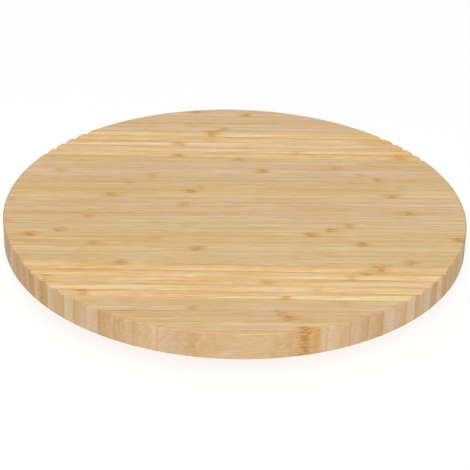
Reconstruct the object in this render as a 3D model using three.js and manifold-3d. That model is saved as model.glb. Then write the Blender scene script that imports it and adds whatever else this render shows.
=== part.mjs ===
// Lazy susan turntable: a round bamboo board that turns on a ring of balls over a small footed base.
// Millimetres, +Z up. The origin is on the turning axis, at the level that the feet stand on.

import * as THREE from "three";
import { mergeVertices } from "three/addons/utils/BufferGeometryUtils.js";
import Module from "manifold-3d";

// ---- Driving sizes ----

// Board
const BOARD_DIAMETER = 305;
const BOARD_THICKNESS = 18;
const BOARD_EDGE_RADIUS = 0.9;

// Grooves across the board: two bands, front and back, each a row of arched ridges with sharp valleys
const GROOVES_PER_BAND = 5;
const GROOVE_PITCH = 8.1;
const GROOVE_DEPTH = 2.2;
const BAND_OFFSET = 93.6; // from the board's centre to the middle of a band

// Base. It ends just past the outer ring's wall, so the board's screws can be reached from below.
const BASE_OVERHANG = 2.2;
const BASE_THICKNESS = 8;
const BASE_EDGE_RADIUS = 1.5;

// Feet
const FOOT_COUNT = 4;
const FOOT_EDGE_MARGIN = 3.5; // from a foot's side to the base's edge
const FOOT_WALL = 2.3; // rubber round the screw's recess, at the floor
const FOOT_FLARE = 1; // how much wider a foot is at its top, each side
const FOOT_ROOF = 0.8; // rubber between the washer and the base
const DRIVER_CLEARANCE = 1.7; // round the screw's head, in the recess
const HEAD_ABOVE_FLOOR = 0.6;
const WASHER_HOLD = 0.8; // washer held in the rubber, past the recess
const WASHER_THICKNESS = 0.8;

// Ball bearing
const BALL_DIAMETER = 4.5;
const BALL_COUNT = 20;
const TRACK_DIAMETER = 160; // circle through the balls' centres
const CAGE_THICKNESS = 1;
const CAGE_BORDER = 1; // cage left above and below a pocket
const RACE_LIP = 0.5; // ring left above and below the ball track
const RACE_WALL = 5; // ring behind its running face
const RING_OFFSET = 1.3; // how far one ring stands past the other, top and bottom
const FLANGE_THICKNESS = 2.4;
const FLANGE_WIDTH = 18;

// Screws
const SCREW_DIAMETER = 3.5;
const SCREW_HEAD_DIAMETER = 7;
const SCREW_HEAD_LAND = 0.25; // straight rim of a countersunk head
const SCREW_POINT_LENGTH = 3;
const SCREW_COUNT = 4; // for each ring
const BOARD_SCREW_COVER = 7.4; // wood left past the end of each pilot hole
const BASE_SCREW_COVER = 1.9;
const FOOT_SCREW_COVER = 2.7;
const PAN_HEAD_HEIGHT = 1.7;
const RECESS_WIDTH = 1.1;
const RECESS_SPAN = 4;
const RECESS_DEPTH = 1.1;

// Clearances
const CONTACT_GAP = 0.3; // between pieces that touch
const RUNNING_GAP = 0.3; // between pieces that move past each other
const TOOL_OVERRUN = 1; // how far a cutting tool runs past a face

// Facets
const BOARD_FACETS = 120;
const BASE_FACETS = 72;
const RING_FACETS = 72;
const FOOT_FACETS = 24;
const SMALL_FACETS = 16; // screws, their holes and the cage's pockets
const EDGE_STEPS = 3;
const ARCH_STEPS = 4; // along half a ridge
const TRACK_STEPS = 5;

// ---- Sizes that follow ----

const boardRadius = BOARD_DIAMETER / 2;
const trackRadius = TRACK_DIAMETER / 2;
const ballRadius = BALL_DIAMETER / 2;
const screwRadius = SCREW_DIAMETER / 2;
const screwHeadRadius = SCREW_HEAD_DIAMETER / 2;

// Each ring's running face stands this far from the track circle, on its own side of the cage.
const faceOffset = CAGE_THICKNESS / 2 + RUNNING_GAP;
const grooveRadius = ballRadius + RUNNING_GAP;
const grooveHalfMouth = Math.sqrt(grooveRadius ** 2 - faceOffset ** 2);
const raceHalfHeight = grooveHalfMouth + RACE_LIP;
const ringHeight = 2 * raceHalfHeight + RING_OFFSET;
const bearingHeight = ringHeight + RING_OFFSET;
const pocketRadius = ballRadius + RUNNING_GAP;

const outerWallRadius = trackRadius + faceOffset + RACE_WALL;
const outerRingRadius = outerWallRadius + FLANGE_WIDTH;
const innerWallRadius = trackRadius - faceOffset - RACE_WALL;
const innerRingRadius = innerWallRadius - FLANGE_WIDTH;
const boardScrewCircle = (outerWallRadius + outerRingRadius) / 2;
const baseScrewCircle = (innerWallRadius + innerRingRadius) / 2;
const baseRadius = outerWallRadius + BASE_OVERHANG;

const recessRadius = screwHeadRadius + DRIVER_CLEARANCE;
const washerRadius = recessRadius + WASHER_HOLD;
const footBottomRadius = recessRadius + FOOT_WALL;
const footTopRadius = footBottomRadius + FOOT_FLARE;
const footCircle = baseRadius - FOOT_EDGE_MARGIN - footTopRadius;

// Heights above the floor
const footHeadTop = HEAD_ABOVE_FLOOR + PAN_HEAD_HEIGHT;
const washerBottom = footHeadTop + CONTACT_GAP;
const washerTop = washerBottom + WASHER_THICKNESS;
const footTop = washerTop + CONTACT_GAP + FOOT_ROOF;
const baseBottom = footTop + CONTACT_GAP;
const baseTop = baseBottom + BASE_THICKNESS;
const bearingBottom = baseTop + CONTACT_GAP;
const trackHeight = bearingBottom + bearingHeight / 2;
const bearingTop = bearingBottom + bearingHeight;
const boardBottom = bearingTop + CONTACT_GAP;

// How deep each screw's tip goes into the wood
const boardScrewTip = BOARD_THICKNESS - BOARD_SCREW_COVER - CONTACT_GAP;
const baseScrewTip = BASE_THICKNESS - BASE_SCREW_COVER - CONTACT_GAP;
const footScrewTip = BASE_THICKNESS - FOOT_SCREW_COVER - CONTACT_GAP;

// Where the pieces that repeat stand round the axis
const ballAngles = spaced(BALL_COUNT);
const boardScrewAngles = spaced(SCREW_COUNT, Math.PI / SCREW_COUNT);
const baseScrewAngles = spaced(SCREW_COUNT);
const footAngles = spaced(FOOT_COUNT, Math.PI / FOOT_COUNT);

// ---- Materials ----

const finish = (color, roughness, metalness) =>
  new THREE.MeshStandardMaterial({ color, roughness, metalness });
const boardBamboo = finish(0xd7b688, 0.5, 0);
const baseBamboo = finish(0xcfac7c, 0.55, 0);
const aluminium = finish(0xb9bcc0, 0.35, 0.9);
const ballSteel = finish(0xd0d3d6, 0.12, 1);
const zincSteel = finish(0xaeb2b5, 0.3, 0.9);
const nylon = finish(0xece9df, 0.5, 0);
const rubber = finish(0x26272a, 0.85, 0);

// ---- Solid modelling ----

const wasm = await Module();
wasm.setup();

// A closed three.js geometry as a manifold-3d solid.
function solidOf(geometry) {
  const bare = geometry.clone();
  bare.deleteAttribute("normal");
  bare.deleteAttribute("uv");
  const merged = mergeVertices(bare, 1e-4);
  return new wasm.Manifold(
    new wasm.Mesh({
      numProp: 3,
      vertProperties: new Float32Array(merged.attributes.position.array),
      triVerts: new Uint32Array(merged.index.array),
    }),
  );
}

// A manifold-3d solid as a three.js geometry with flat faces.
function geometryOf(solid) {
  const mesh = solid.getMesh();
  const shared = new THREE.BufferGeometry();
  shared.setAttribute("position", new THREE.BufferAttribute(mesh.vertProperties, 3));
  shared.setIndex(new THREE.BufferAttribute(mesh.triVerts, 1));
  const flat = shared.toNonIndexed();
  flat.computeVertexNormals();
  return flat;
}

// One geometry with others cut out of it.
function cut(geometry, tools) {
  const body = solidOf(geometry);
  return geometryOf(body.subtract(wasm.Manifold.union(tools.map(solidOf))));
}

// A profile of [radius, height] points turned about Z. It starts and ends on the axis or closes on itself.
function turned(profile, facets) {
  const points = profile.map(([radius, height]) => new THREE.Vector2(radius, height));
  return new THREE.LatheGeometry(points, facets).rotateX(Math.PI / 2);
}

// Points on an arc about [centreRadius, centreHeight], from one angle to another, in degrees.
function arc(centreRadius, centreHeight, radius, from, to, steps) {
  return Array.from({ length: steps + 1 }, (_, i) => {
    const angle = THREE.MathUtils.degToRad(from + ((to - from) * i) / steps);
    return [centreRadius + radius * Math.cos(angle), centreHeight + radius * Math.sin(angle)];
  });
}

// Angles, in radians, of pieces spaced evenly round the axis.
function spaced(count, start = 0) {
  return Array.from({ length: count }, (_, i) => start + (2 * Math.PI * i) / count);
}

// A copy of a geometry moved out to a circle, at an angle round the axis.
const onCircle = (geometry, radius, angle) =>
  geometry.clone().translate(radius, 0, 0).rotateZ(angle);

// ---- Board ----

// A flat disc with its top and bottom edges rounded.
function roundedDisc(radius, thickness, edge, facets) {
  return turned(
    [
      [0, 0],
      ...arc(radius - edge, edge, edge, -90, 0, EDGE_STEPS),
      ...arc(radius - edge, thickness - edge, edge, 0, 90, EDGE_STEPS),
      [0, thickness],
    ],
    facets,
  );
}

// The material that one groove takes out, as a bar along X. Its valley is at y = 0 and its two sides are
// halves of the arched ridges beside it, which are tangent to the board's top at their crests.
function grooveTool() {
  const half = GROOVE_PITCH / 2;
  const archRadius = (half ** 2 + GROOVE_DEPTH ** 2) / (2 * GROOVE_DEPTH);
  const drop = (fromCrest) => archRadius - Math.sqrt(archRadius ** 2 - fromCrest ** 2);
  const section = new THREE.Shape();
  section.moveTo(half, GROOVE_DEPTH);
  section.lineTo(-half, GROOVE_DEPTH);
  for (let i = 0; i <= 2 * ARCH_STEPS; i += 1) {
    const y = -half + (GROOVE_PITCH * i) / (2 * ARCH_STEPS);
    section.lineTo(y, -drop(half - Math.abs(y)));
  }
  const length = BOARD_DIAMETER + 2 * GROOVE_PITCH;
  const bar = new THREE.ExtrudeGeometry(section, { depth: length, bevelEnabled: false });
  bar.translate(0, 0, -length / 2);
  // The section's x and y become the part's Y and Z, and the bar runs along X.
  const turn = new THREE.Matrix4().makeBasis(
    new THREE.Vector3(0, 1, 0),
    new THREE.Vector3(0, 0, 1),
    new THREE.Vector3(1, 0, 0),
  );
  return bar.applyMatrix4(turn);
}

function grooveTools() {
  const tool = grooveTool();
  const tools = [];
  for (const side of [-1, 1]) {
    for (let i = 0; i < GROOVES_PER_BAND; i += 1) {
      const fromMiddle = (i - (GROOVES_PER_BAND - 1) / 2) * GROOVE_PITCH;
      const y = side * BAND_OFFSET + fromMiddle;
      tools.push(tool.clone().translate(0, y, BOARD_THICKNESS));
    }
  }
  return tools;
}

// A blind pilot hole that starts at a face at z = 0 and goes up, for a screw whose tip ends at a depth.
function pilotTool(tipDepth) {
  const radius = screwRadius + CONTACT_GAP;
  const depth = tipDepth + CONTACT_GAP;
  return new THREE.CylinderGeometry(radius, radius, 2 * depth, SMALL_FACETS).rotateX(Math.PI / 2);
}

// The board, with its underside at z = 0.
function boardGeometry() {
  const blank = roundedDisc(boardRadius, BOARD_THICKNESS, BOARD_EDGE_RADIUS, BOARD_FACETS);
  const pilots = boardScrewAngles.map((a) => onCircle(pilotTool(boardScrewTip), boardScrewCircle, a));
  return cut(blank, [...grooveTools(), ...pilots]);
}

// ---- Bearing ----

// A countersunk hole through a flange that lies from z = 0 to its thickness, with the cone at z = 0.
function countersinkTool() {
  const holeRadius = screwRadius + CONTACT_GAP;
  const mouthRadius = screwHeadRadius + CONTACT_GAP;
  const coneEnd = SCREW_HEAD_LAND + mouthRadius - holeRadius;
  return turned(
    [
      [0, -TOOL_OVERRUN],
      [mouthRadius, -TOOL_OVERRUN],
      [mouthRadius, SCREW_HEAD_LAND],
      [holeRadius, coneEnd],
      [holeRadius, coneEnd + FLANGE_THICKNESS],
      [0, coneEnd + FLANGE_THICKNESS],
    ],
    SMALL_FACETS,
  );
}

// Half of the ball track's section, seen from the ball circle at z = 0. side is 1 for the outer ring, which
// curves away from the axis, and -1 for the inner ring.
function trackArc(side) {
  const mouthAngle = THREE.MathUtils.radToDeg(Math.asin(grooveHalfMouth / grooveRadius));
  const points = arc(0, 0, grooveRadius, -mouthAngle, mouthAngle, TRACK_STEPS);
  return points.map(([r, z]) => [trackRadius + side * r, z]);
}

// The outer ring, about the track's height: running face inside, flange at the top.
function outerRingGeometry() {
  const face = trackRadius + faceOffset;
  const top = bearingHeight / 2;
  const profile = [
    [outerWallRadius, -raceHalfHeight],
    [outerWallRadius, top - FLANGE_THICKNESS],
    [outerRingRadius, top - FLANGE_THICKNESS],
    [outerRingRadius, top],
    [face, top],
    ...trackArc(1).reverse(),
    [face, -raceHalfHeight],
    [outerWallRadius, -raceHalfHeight],
  ];
  const hole = countersinkTool().translate(0, 0, top - FLANGE_THICKNESS);
  const holes = boardScrewAngles.map((a) => onCircle(hole, boardScrewCircle, a));
  return cut(turned(profile, RING_FACETS), holes);
}

// The inner ring, about the track's height: running face outside, flange at the bottom.
function innerRingGeometry() {
  const face = trackRadius - faceOffset;
  const bottom = -bearingHeight / 2;
  const profile = [
    [innerRingRadius, bottom],
    [face, bottom],
    ...trackArc(-1),
    [face, raceHalfHeight],
    [innerWallRadius, raceHalfHeight],
    [innerWallRadius, bottom + FLANGE_THICKNESS],
    [innerRingRadius, bottom + FLANGE_THICKNESS],
    [innerRingRadius, bottom],
  ];
  const hole = countersinkTool()
    .rotateX(Math.PI)
    .translate(0, 0, bottom + FLANGE_THICKNESS);
  const holes = baseScrewAngles.map((a) => onCircle(hole, baseScrewCircle, a));
  return cut(turned(profile, RING_FACETS), holes);
}

// The cage: a thin upright ribbon round the track circle, with a round pocket for each ball.
function cageGeometry() {
  const inside = trackRadius - CAGE_THICKNESS / 2;
  const outside = trackRadius + CAGE_THICKNESS / 2;
  const half = pocketRadius + CAGE_BORDER;
  const ribbon = turned(
    [
      [inside, -half],
      [outside, -half],
      [outside, half],
      [inside, half],
      [inside, -half],
    ],
    RING_FACETS,
  );
  const length = 4 * CAGE_THICKNESS;
  const pocket = new THREE.CylinderGeometry(pocketRadius, pocketRadius, length, SMALL_FACETS);
  pocket.rotateZ(Math.PI / 2);
  return cut(ribbon, ballAngles.map((a) => onCircle(pocket, trackRadius, a)));
}

// ---- Base ----

// The base, with its underside at z = 0 and pilot holes for the ring's screws and the feet's.
function baseGeometry() {
  const blank = roundedDisc(baseRadius, BASE_THICKNESS, BASE_EDGE_RADIUS, BASE_FACETS);
  const ringPilot = pilotTool(baseScrewTip).translate(0, 0, BASE_THICKNESS);
  const footPilot = pilotTool(footScrewTip);
  return cut(blank, [
    ...baseScrewAngles.map((a) => onCircle(ringPilot, baseScrewCircle, a)),
    ...footAngles.map((a) => onCircle(footPilot, footCircle, a)),
  ]);
}

// ---- Feet ----

// A tapered rubber foot on the floor, open below for the screw head, with a slot that holds the washer.
function footGeometry() {
  const slot = washerRadius + CONTACT_GAP;
  const slotBottom = washerBottom - CONTACT_GAP;
  const slotTop = washerTop + CONTACT_GAP;
  const hole = screwRadius + CONTACT_GAP;
  return turned(
    [
      [recessRadius, 0],
      [footBottomRadius, 0],
      [footTopRadius, footTop],
      [hole, footTop],
      [hole, slotTop],
      [slot, slotTop],
      [slot, slotBottom],
      [recessRadius, slotBottom],
      [recessRadius, 0],
    ],
    FOOT_FACETS,
  );
}

function washerGeometry() {
  const hole = screwRadius + CONTACT_GAP;
  return turned(
    [
      [hole, 0],
      [washerRadius, 0],
      [washerRadius, WASHER_THICKNESS],
      [hole, WASHER_THICKNESS],
      [hole, 0],
    ],
    FOOT_FACETS,
  );
}

// ---- Screws: each head's outer face is at z = 0 and the shank points up ----

// The cross recess that a driver fits.
function recessTools() {
  const bar = new THREE.BoxGeometry(RECESS_SPAN, RECESS_WIDTH, 2 * RECESS_DEPTH);
  return [bar, bar.clone().rotateZ(Math.PI / 2)];
}

function countersunkScrewGeometry(length) {
  const neck = SCREW_HEAD_LAND + screwHeadRadius - screwRadius;
  const body = turned(
    [
      [0, 0],
      [screwHeadRadius, 0],
      [screwHeadRadius, SCREW_HEAD_LAND],
      [screwRadius, neck],
      [screwRadius, length - SCREW_POINT_LENGTH],
      [0, length],
    ],
    SMALL_FACETS,
  );
  return cut(body, recessTools());
}

function panScrewGeometry(length) {
  const crown = PAN_HEAD_HEIGHT / 2;
  const body = turned(
    [
      [0, 0],
      ...arc(screwHeadRadius - crown, crown, crown, -90, 0, EDGE_STEPS),
      [screwHeadRadius, PAN_HEAD_HEIGHT],
      [screwRadius, PAN_HEAD_HEIGHT],
      [screwRadius, length - SCREW_POINT_LENGTH],
      [0, length],
    ],
    SMALL_FACETS,
  );
  return cut(body, recessTools());
}

// ---- Assembly ----

const group = new THREE.Group();

// Adds a named mesh to a parent at a height.
function place(parent, name, geometry, material, height = 0) {
  const mesh = new THREE.Mesh(geometry, material.clone());
  mesh.name = name;
  mesh.position.z = height;
  parent.add(mesh);
  return mesh;
}

// Adds copies of a piece round a circle, named NAME_1, NAME_2 and so on.
function placeRound(parent, name, geometry, material, height, radius, angles, digits = 1) {
  angles.forEach((angle, i) => {
    const number = String(i + 1).padStart(digits, "0");
    const mesh = place(parent, `${name}_${number}`, geometry, material, height);
    mesh.position.x = radius * Math.cos(angle);
    mesh.position.y = radius * Math.sin(angle);
    mesh.rotation.z = angle;
  });
}

const base = new THREE.Group();
place(base, "base_disc", baseGeometry(), baseBamboo, baseBottom);
place(base, "inner_ring", innerRingGeometry(), aluminium, trackHeight);
const innerFlangeTop = bearingBottom + FLANGE_THICKNESS;
const baseScrewLength = innerFlangeTop - baseTop + baseScrewTip;
const baseScrew = countersunkScrewGeometry(baseScrewLength).rotateX(Math.PI);
placeRound(base, "base_screw", baseScrew, zincSteel, innerFlangeTop, baseScrewCircle, baseScrewAngles);
placeRound(base, "foot", footGeometry(), rubber, 0, footCircle, footAngles);
placeRound(base, "foot_washer", washerGeometry(), zincSteel, washerBottom, footCircle, footAngles);
const footScrew = panScrewGeometry(baseBottom + footScrewTip - HEAD_ABOVE_FLOOR);
placeRound(base, "foot_screw", footScrew, zincSteel, HEAD_ABOVE_FLOOR, footCircle, footAngles);

const cage = new THREE.Group();
cage.position.z = trackHeight;
place(cage, "ball_cage", cageGeometry(), nylon);
const ball = new THREE.SphereGeometry(ballRadius, 12, 8);
placeRound(cage, "ball", ball, ballSteel, 0, trackRadius, ballAngles, 2);

const turntable = new THREE.Group();
place(turntable, "board", boardGeometry(), boardBamboo, boardBottom);
place(turntable, "outer_ring", outerRingGeometry(), aluminium, trackHeight);
const outerFlangeBottom = bearingTop - FLANGE_THICKNESS;
const boardScrew = countersunkScrewGeometry(boardBottom + boardScrewTip - outerFlangeBottom);
placeRound(
  turntable, "board_screw", boardScrew, zincSteel, outerFlangeBottom, boardScrewCircle, boardScrewAngles,
);

group.add(base, cage, turntable);

export default group;
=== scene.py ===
# %% [markdown]
# # A lazy susan turntable in bamboo
#
# The object is a round serving board, glued up from upright bamboo strips, that turns on a flat ring of
# balls over a small footed base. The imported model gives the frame: where every piece sits, how big it is
# and which body it moves with. Each piece is then modelled again beside its plain solid, at the same
# size, with round edges, finer facets and a finish of its own.
#
# First comes the frame, and the box that it fills, which the finished pieces may not outgrow.

# %% Load the frame
import math

import bmesh
import bpy
from mathutils import Matrix, Vector


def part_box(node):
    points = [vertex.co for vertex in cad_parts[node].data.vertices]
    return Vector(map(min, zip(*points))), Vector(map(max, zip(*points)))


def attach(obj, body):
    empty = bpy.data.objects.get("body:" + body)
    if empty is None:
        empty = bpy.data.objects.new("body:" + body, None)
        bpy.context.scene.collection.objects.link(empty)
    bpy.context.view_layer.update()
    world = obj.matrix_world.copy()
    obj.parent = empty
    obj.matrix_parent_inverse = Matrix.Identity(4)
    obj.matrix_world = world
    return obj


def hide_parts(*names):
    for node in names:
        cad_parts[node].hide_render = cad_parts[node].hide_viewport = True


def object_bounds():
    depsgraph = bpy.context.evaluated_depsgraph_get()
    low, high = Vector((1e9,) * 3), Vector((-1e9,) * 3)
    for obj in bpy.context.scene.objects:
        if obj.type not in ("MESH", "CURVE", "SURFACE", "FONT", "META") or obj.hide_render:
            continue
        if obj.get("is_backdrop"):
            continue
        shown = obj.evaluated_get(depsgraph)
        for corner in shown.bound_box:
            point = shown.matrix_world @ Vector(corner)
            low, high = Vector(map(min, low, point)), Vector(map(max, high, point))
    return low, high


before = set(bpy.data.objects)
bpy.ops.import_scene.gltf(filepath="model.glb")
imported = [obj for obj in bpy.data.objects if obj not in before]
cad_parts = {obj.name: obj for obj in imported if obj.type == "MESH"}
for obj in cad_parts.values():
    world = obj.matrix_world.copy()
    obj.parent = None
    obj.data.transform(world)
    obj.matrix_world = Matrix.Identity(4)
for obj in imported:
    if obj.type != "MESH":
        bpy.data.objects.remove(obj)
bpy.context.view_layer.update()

# %% [markdown]
# ## The camera
#
# The board is seen from the front and a little above, from far enough away that its outline is almost a
# plain ellipse. A long lens gives that. The camera stands on an arm from the middle of the board's top:
# it is swung round, raised, and then panned, tilted and rolled a little about its own axes, as on a
# tripod head. Writing those turns in that order keeps each one easy to change.

# %% Camera
MM = 0.001
board_low, board_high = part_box("board")
BOARD_RADIUS = (board_high.x - board_low.x) / 2
BOARD_TOP = board_high.z
BOARD_BOTTOM = board_low.z

CAMERA_ARM = 1.1285
CAMERA_SWING = math.radians(-0.911)
CAMERA_RISE = math.radians(28.762)
CAMERA_PAN = math.radians(-0.016)
CAMERA_TILT = math.radians(-0.889)
CAMERA_ROLL = math.radians(1.507)
CAMERA_LENS = 130.6


def add_camera():
    arm = Matrix.Rotation(CAMERA_SWING, 3, "Z") @ Matrix.Rotation(math.pi / 2 - CAMERA_RISE, 3, "X")
    head = Matrix.Rotation(CAMERA_PAN, 3, "Y") @ Matrix.Rotation(CAMERA_TILT, 3, "X")
    head = head @ Matrix.Rotation(CAMERA_ROLL, 3, "Z")
    camera = bpy.data.objects.new("camera", bpy.data.cameras.new("camera"))
    camera.data.sensor_width = 36
    camera.data.lens = CAMERA_LENS
    camera.data.clip_start = 0.05
    place = Vector((0, 0, BOARD_TOP)) + arm @ Vector((0, 0, CAMERA_ARM))
    camera.matrix_world = Matrix.Translation(place) @ (arm @ head).to_4x4()
    bpy.context.scene.collection.objects.link(camera)
    bpy.context.scene.camera = camera
    return camera


camera = add_camera()
print("camera at", [round(v, 3) for v in camera.location], "lens", CAMERA_LENS, "mm")

# %% [markdown]
# ## Helpers for modelling
#
# Every piece here goes the same way: add a primitive, shape it in edit mode, finish it with modifiers.
# Operators act on whatever is selected, and the frame's solids are selected after loading, so nothing
# may stay selected between steps. Faces and edges are chosen by where they are or where they face, never
# by their number, because numbers change as soon as a mesh is cut.

# %% Selecting and editing
def select_nothing():
    if bpy.context.object and bpy.context.object.mode != "OBJECT":
        bpy.ops.object.mode_set(mode="OBJECT")
    bpy.ops.object.select_all(action="DESELECT")


def select_only(piece):
    select_nothing()
    piece.select_set(True)
    bpy.context.view_layer.objects.active = piece


def start(add, name, **settings):
    """Adds one primitive by itself and names it."""
    select_nothing()
    add(**settings)
    piece = bpy.context.object
    piece.name = piece.data.name = name
    return piece


def edit(piece, kind="VERT"):
    select_only(piece)
    bpy.ops.object.mode_set(mode="EDIT")
    bpy.ops.mesh.select_mode(type=kind)
    bpy.ops.mesh.select_all(action="DESELECT")


def pick(piece, kind, wanted):
    """Selects the vertices, edges or faces that pass a test, in edit mode."""
    bpy.ops.mesh.select_mode(type=kind)
    bpy.ops.mesh.select_all(action="DESELECT")
    mesh = bmesh.from_edit_mesh(piece.data)
    group = {"VERT": mesh.verts, "EDGE": mesh.edges, "FACE": mesh.faces}[kind]
    chosen = [element for element in group if wanted(element)]
    for element in chosen:
        element.select_set(True)
    mesh.select_flush_mode()
    bmesh.update_edit_mesh(piece.data)


def settle(piece):
    """Leaves edit mode and puts the object's place and turn into its mesh."""
    select_only(piece)
    bpy.ops.object.transform_apply(location=True, rotation=True, scale=True)


def modify(piece, kind, **settings):
    """Adds a modifier, sets it and applies it."""
    select_only(piece)
    bpy.ops.object.modifier_add(type=kind)
    modifier = piece.modifiers[-1]
    for name, value in settings.items():
        setattr(modifier, name, value)
    bpy.ops.object.modifier_apply(modifier=modifier.name)


def clean(piece):
    """Merges doubles and turns every face outwards."""
    edit(piece)
    bpy.ops.mesh.select_all(action="SELECT")
    bpy.ops.mesh.remove_doubles(threshold=0.002 * MM)
    bpy.ops.mesh.dissolve_degenerate(threshold=0.001 * MM)
    bpy.ops.mesh.normals_make_consistent(inside=False)
    bpy.ops.object.mode_set(mode="OBJECT")


def join(pieces, name):
    select_nothing()
    for piece in pieces:
        piece.select_set(True)
    bpy.context.view_layer.objects.active = pieces[0]
    bpy.ops.object.join()
    pieces[0].name = name
    return pieces[0]


def cut_away(piece, tool, solver="EXACT"):
    """Cuts a tool out of a piece and throws the tool away."""
    modify(piece, "BOOLEAN", operation="DIFFERENCE", solver=solver, object=tool)
    bpy.data.objects.remove(tool)


def copy_of(piece, name):
    twin = piece.copy()
    twin.data = piece.data.copy()
    twin.name = twin.data.name = name
    bpy.context.scene.collection.objects.link(twin)
    return twin


def move(piece, offset):
    select_only(piece)
    bpy.ops.transform.translate(value=offset)
    settle(piece)


def turn(piece, angle, axis="Z"):
    """Turns a piece about an axis through the origin. A plain turn of the object keeps the sign clear."""
    piece.matrix_world = Matrix.Rotation(angle, 4, axis) @ piece.matrix_world
    settle(piece)


print("modelling helpers ready")

# %% [markdown]
# ## A lathe
#
# The rings, feet, washers, screws and the base are all turned shapes. On the screen that is a section
# drawn beside the turning axis, one point after another, and spun once round it. A single vertex is
# extruded along the section, so the outline needs no more points than a drawing of it would. Where an
# outline starts and ends on the axis, the spin closes it there, and otherwise its last point meets its
# first. Corners could be rounded on the finished solid, but it is easier on the drawing: a bevel of the
# section's own vertices, only where the outline turns sharply, so that a drawn curve stays as it is.

# %% Lathe
def arc(centre, radius, start_angle, end_angle, steps):
    """Points round part of a circle in the section's plane, angles in degrees."""
    points = []
    for i in range(steps + 1):
        angle = math.radians(start_angle + (end_angle - start_angle) * i / steps)
        points.append((centre[0] + radius * math.cos(angle), centre[1] + radius * math.sin(angle)))
    return points


def draw_section(name, outline):
    """Extrudes one vertex along an outline of (radius, height) points, in metres."""
    first_radius, first_height = outline[0]
    place = (first_radius, 0, first_height)
    piece = start(bpy.ops.mesh.primitive_plane_add, name, size=MM, location=place)
    settle(piece)
    edit(piece)
    bpy.ops.mesh.select_all(action="SELECT")
    bpy.ops.mesh.merge(type="CENTER")
    for (radius, height), (next_radius, next_height) in zip(outline, outline[1:]):
        step = (next_radius - radius, 0, next_height - height)
        bpy.ops.mesh.extrude_region_move(TRANSFORM_OT_translate={"value": step})
    return piece


def sharpness(vert):
    """How far the outline turns at a vertex, in degrees."""
    if len(vert.link_edges) != 2:
        return 0
    first, second = (edge.other_vert(vert).co - vert.co for edge in vert.link_edges)
    return 180 - math.degrees(first.angle(second))


def lathe(name, outline, steps, round_over=0.0):
    """Spins an outline round the Z axis and closes it, after rounding its sharp corners."""
    piece = draw_section(name, outline)
    if round_over:
        bpy.ops.mesh.select_all(action="SELECT")
        bpy.ops.mesh.remove_doubles(threshold=0.002 * MM)
        pick(piece, "VERT", lambda vert: sharpness(vert) > 35)
        bpy.ops.mesh.bevel(offset=round_over, segments=3, affect="VERTICES", clamp_overlap=True)
    bpy.ops.mesh.select_all(action="SELECT")
    bpy.ops.mesh.spin(steps=steps, angle=2 * math.pi, center=(0, 0, 0), axis=(0, 0, 1))
    clean(piece)
    return piece


def soften(piece, width, segments=2, angle=35):
    """Rounds every edge that is sharper than an angle."""
    limit = math.radians(angle)
    modify(
        piece, "BEVEL", width=width, segments=segments, limit_method="ANGLE", angle_limit=limit,
        use_clamp_overlap=True, loop_slide=False,
    )


def smooth(piece, angle=30):
    select_only(piece)
    bpy.ops.object.shade_smooth_by_angle(angle=math.radians(angle))
    modify(piece, "WEIGHTED_NORMAL", keep_sharp=True, weight=100)


def report(piece):
    print(piece.name, "has", len(piece.data.polygons), "faces")


print("lathe ready")

# %% [markdown]
# ## Helpers for finishes
#
# A finish is a small tree of nodes. Writing each node as one call keeps a tree short enough to read:
# `node` adds one and fills its sockets with numbers or with other nodes' outputs, and `maths` is the
# same for one sum. Everything reads Object coordinates, so a pattern stays fixed in the piece when the
# piece turns.

# %% Node helpers
def new_material(name):
    material = bpy.data.materials.new(name)
    material.use_nodes = True
    tree = material.node_tree
    return material, tree, tree.nodes["Principled BSDF"]


def node(tree, kind, inputs=None, **settings):
    made = tree.nodes.new(kind)
    for name, value in settings.items():
        setattr(made, name, value)
    for name, value in (inputs or {}).items():
        if isinstance(value, bpy.types.NodeSocket):
            tree.links.new(value, made.inputs[name])
        else:
            made.inputs[name].default_value = value
    return made


def maths(tree, operation, *values, clamp=False):
    made = node(tree, "ShaderNodeMath", dict(enumerate(values)), operation=operation, use_clamp=clamp)
    return made.outputs[0]


def step(tree, value, low, high, smooth_ends=True):
    """0 below low, 1 above high, and an even rise between. Swapped ends give a fall."""
    kind = "SMOOTHSTEP" if smooth_ends else "LINEAR"
    inputs = {"Value": value, "From Min": low, "From Max": high, "To Min": 0.0, "To Max": 1.0}
    if low > high:
        inputs.update({"From Min": high, "From Max": low, "To Min": 1.0, "To Max": 0.0})
    return node(tree, "ShaderNodeMapRange", inputs, interpolation_type=kind).outputs[0]


def mix_colour(tree, amount, first, second, blend="MIX"):
    made = node(tree, "ShaderNodeMix", data_type="RGBA", blend_type=blend)
    for socket, value in ((made.inputs[0], amount), (made.inputs[6], first), (made.inputs[7], second)):
        if isinstance(value, bpy.types.NodeSocket):
            tree.links.new(value, socket)
        else:
            socket.default_value = value
    return made.outputs[2]


def object_coordinates(tree, turned=0.0):
    """The piece's own coordinates, turned about Z."""
    texture = node(tree, "ShaderNodeTexCoord")
    inputs = {"Vector": texture.outputs["Object"], "Rotation": (0, 0, -turned)}
    return node(tree, "ShaderNodeMapping", inputs, vector_type="POINT").outputs[0]


def noise(tree, vector, scales, detail=2.0, roughness=0.5):
    """Noise with its own scale along each axis, so that it can be drawn out along the grain."""
    stretched = node(tree, "ShaderNodeVectorMath", {0: vector, 1: scales}, operation="MULTIPLY")
    inputs = {"Vector": stretched.outputs[0], "Scale": 1.0, "Detail": detail, "Roughness": roughness}
    return node(tree, "ShaderNodeTexNoise", inputs, noise_dimensions="3D").outputs["Fac"]


def bump(tree, shader, height, distance, strength=1.0):
    inputs = {"Height": height, "Distance": distance, "Strength": strength}
    made = node(tree, "ShaderNodeBump", inputs)
    tree.links.new(made.outputs[0], shader.inputs["Normal"])


print("finish helpers ready")

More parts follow.
